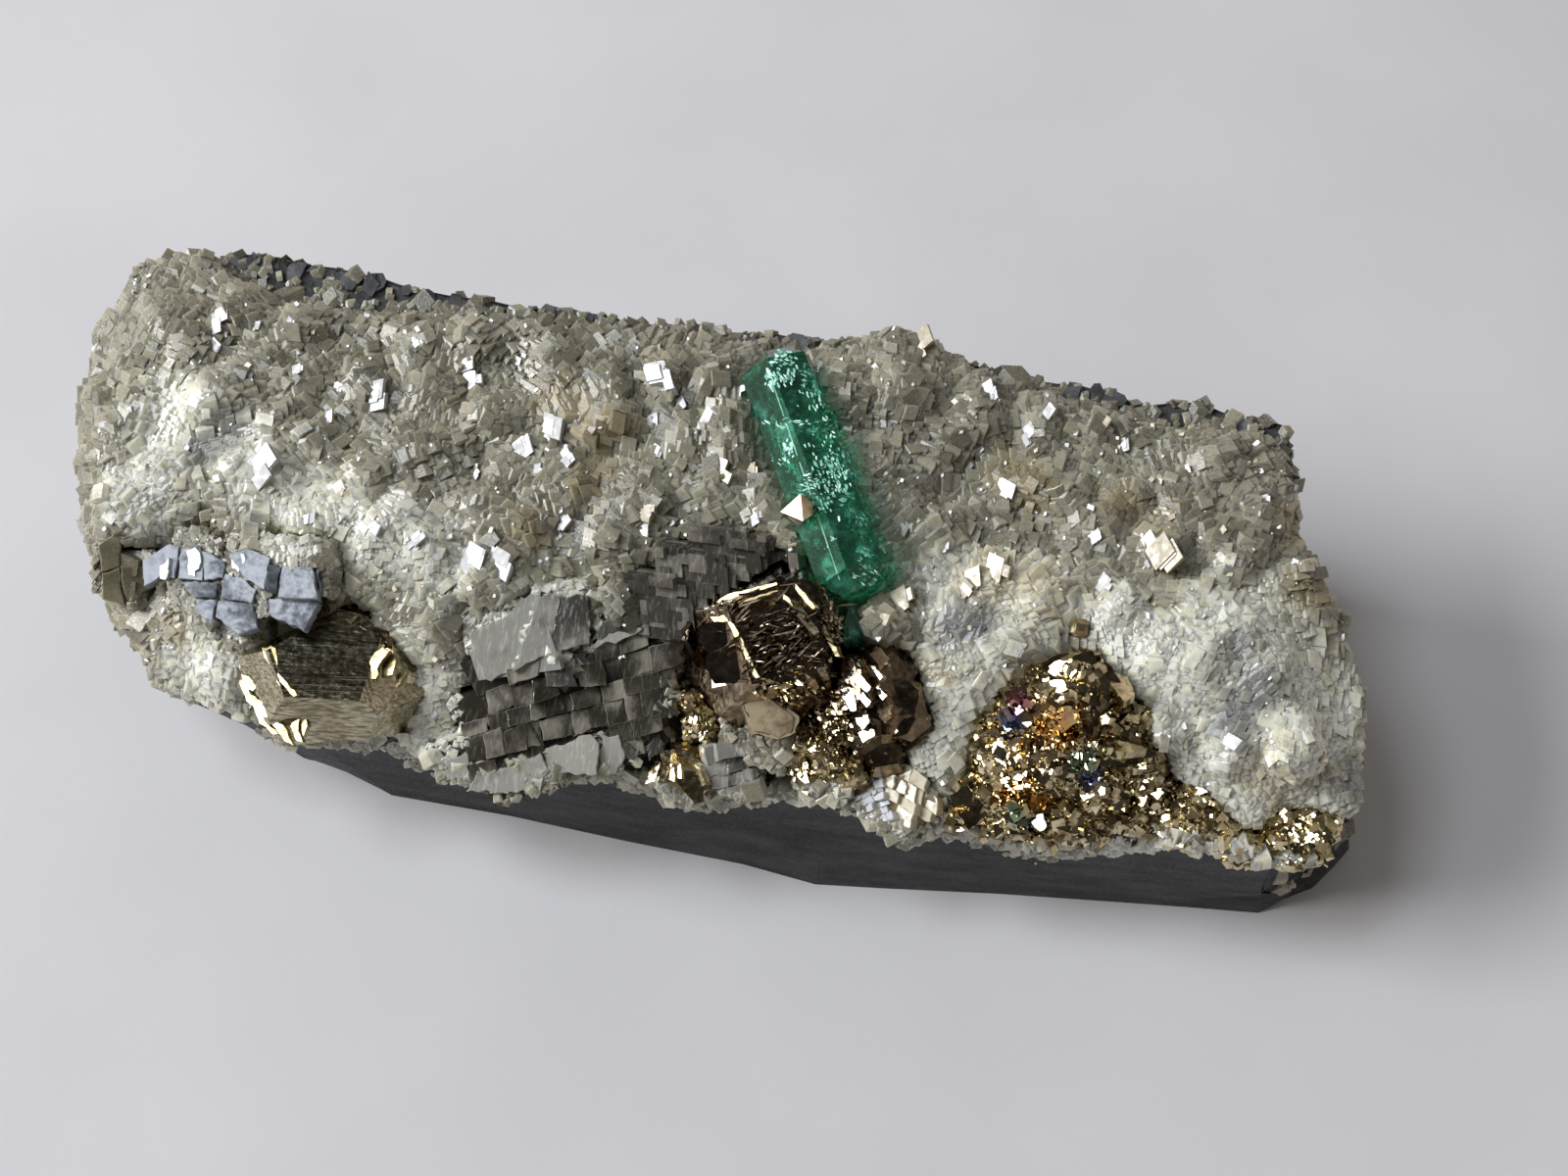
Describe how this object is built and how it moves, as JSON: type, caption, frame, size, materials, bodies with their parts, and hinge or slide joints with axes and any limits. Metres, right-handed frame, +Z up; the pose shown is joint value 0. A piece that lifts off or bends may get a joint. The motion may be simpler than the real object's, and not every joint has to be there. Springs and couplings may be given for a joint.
{
  "type": "emerald in matrix",
  "caption": "Green emerald prism on a glittering calcite druse with pyrite and blocky calcite crystals, on a dark shale slab with a sawn flat base.",
  "frame": {"origin": "on the slab's sawn flat base, near the middle of its length and depth", "axes": "+X along the slab's length, to the viewer's right; +Y towards its back, away from the row of large crystals; +Z up from the base"},
  "size_m": [0.0948, 0.0356, 0.0259],
  "materials": {
    "shale": "matte",
    "calcite": "satin",
    "grey_calcite": "gloss",
    "smoky_calcite": "gloss",
    "pale_calcite": "satin",
    "emerald": "gloss",
    "pyrite": "polished",
    "bronze_pyrite": "polished",
    "tarnished_pyrite": "polished"
  },
  "bodies": {
    "root": {"shale_matrix": "shale", "calcite_druse": "calcite", "emerald_crystal": "emerald", "small_emerald": "emerald", "striated_pyrite": "pyrite", "front_pyrite": "pyrite", "golden_pyrite": "pyrite", "pyrite_nugget": "pyrite", "trailing_pyrite": "pyrite", "end_pyrite": "pyrite", "pyrite_bead": "pyrite", "stepped_pyrite": "bronze_pyrite", "faceted_pyrite": "bronze_pyrite", "pyrite_octahedron": "bronze_pyrite", "tarnished_pyrite": "tarnished_pyrite", "mosaic_calcite": "grey_calcite", "corner_calcite": "smoky_calcite", "blocky_calcite": "smoky_calcite", "smoky_calcite": "smoky_calcite", "clear_calcite": "grey_calcite", "pale_calcite": "pale_calcite", "swirled_calcite": "pale_calcite", "bright_calcite": "pale_calcite"}
  },
  "joints": []
}
